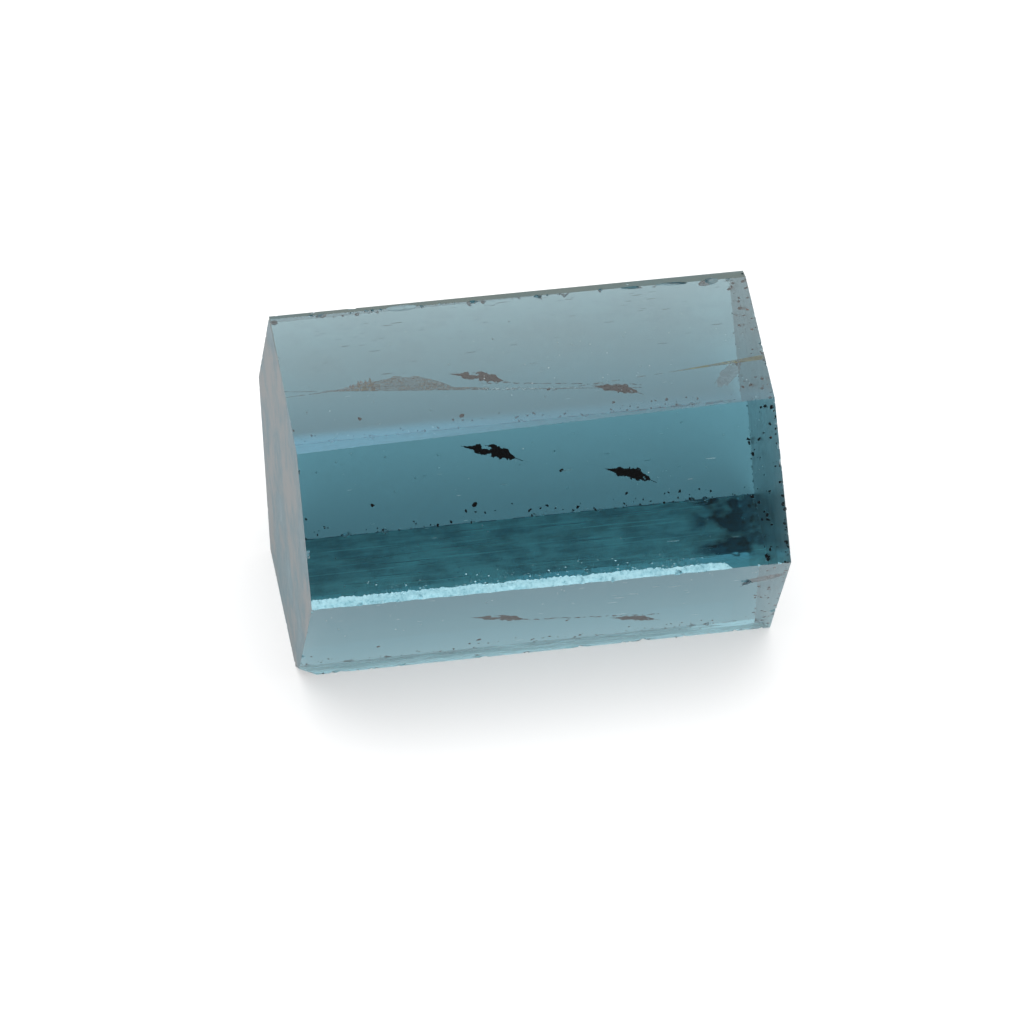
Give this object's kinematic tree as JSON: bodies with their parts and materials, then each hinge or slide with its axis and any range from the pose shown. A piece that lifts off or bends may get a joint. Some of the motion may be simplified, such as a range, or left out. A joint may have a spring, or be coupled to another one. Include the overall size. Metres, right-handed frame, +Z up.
{
  "type": "aquamarine crystal",
  "caption": "Stubby hexagonal prism of clear blue beryl with flat ends, chipped edges and dark inclusions, lying on one of its long faces.",
  "frame": {"origin": "centre of the underside of the crystal's bounding box, on the surface it lies on", "axes": "+X along the prism, +Y back across it, +Z up"},
  "size_m": [0.0252, 0.0198, 0.0157],
  "materials": {
    "aquamarine": "glossy transparent blue beryl with fine growth lines along its faces"
  },
  "bodies": {
    "root": {"crystal": "aquamarine"}
  },
  "joints": []
}
